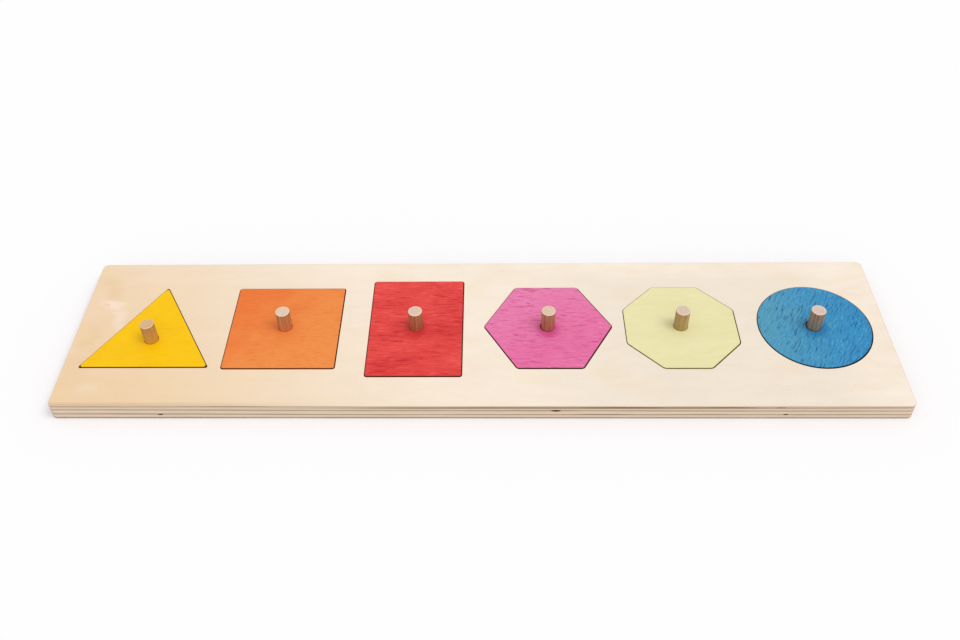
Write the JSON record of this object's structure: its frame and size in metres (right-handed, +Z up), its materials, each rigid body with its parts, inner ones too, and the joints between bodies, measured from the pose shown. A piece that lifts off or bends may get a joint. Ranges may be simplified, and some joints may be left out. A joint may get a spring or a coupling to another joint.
{
  "type": "wooden inset puzzle",
  "caption": "Long flat wooden inset puzzle: coloured geometric shapes with dowel pegs lift out of matching openings in a plywood board.",
  "frame": {"origin": "centre of the flat underside of the board", "axes": "+X along the board from the triangle to the circle, -Y towards the child, +Z up along the pegs and out of the openings"},
  "size_m": [0.58, 0.14, 0.0292],
  "materials": {
    "birch_plywood": "sanded bare birch plywood",
    "dowel": "bare hardwood dowel",
    "yellow_stain": "yellow stain on birch plywood, satin",
    "orange_stain": "orange stain on birch plywood, satin, grain shows through",
    "red_stain": "red stain on birch plywood, satin, grain shows through",
    "pink_stain": "pink stain on birch plywood, satin, grain shows through",
    "pale_yellow_stain": "pale yellow stain on birch plywood, satin",
    "blue_stain": "blue stain on birch plywood, satin, grain shows through"
  },
  "bodies": {
    "board": {"base_board": "birch_plywood", "frame_board": "birch_plywood"},
    "triangle": {"triangle_inset": "yellow_stain", "triangle_peg": "dowel"},
    "square": {"square_inset": "orange_stain", "square_peg": "dowel"},
    "rectangle": {"rectangle_inset": "red_stain", "rectangle_peg": "dowel"},
    "hexagon": {"hexagon_inset": "pink_stain", "hexagon_peg": "dowel"},
    "octagon": {"octagon_inset": "pale_yellow_stain", "octagon_peg": "dowel"},
    "circle": {"circle_inset": "blue_stain", "circle_peg": "dowel"}
  },
  "joints": [
    {"name": "triangle_lift", "type": "slide", "parent": "board", "child": "triangle", "axis": [0, 0, 1], "range_m": [0, 0.04]},
    {"name": "square_lift", "type": "slide", "parent": "board", "child": "square", "axis": [0, 0, 1], "range_m": [0, 0.04]},
    {"name": "rectangle_lift", "type": "slide", "parent": "board", "child": "rectangle", "axis": [0, 0, 1], "range_m": [0, 0.04]},
    {"name": "hexagon_lift", "type": "slide", "parent": "board", "child": "hexagon", "axis": [0, 0, 1], "range_m": [0, 0.04]},
    {"name": "octagon_lift", "type": "slide", "parent": "board", "child": "octagon", "axis": [0, 0, 1], "range_m": [0, 0.04]},
    {"name": "circle_lift", "type": "slide", "parent": "board", "child": "circle", "axis": [0, 0, 1], "range_m": [0, 0.04]}
  ]
}
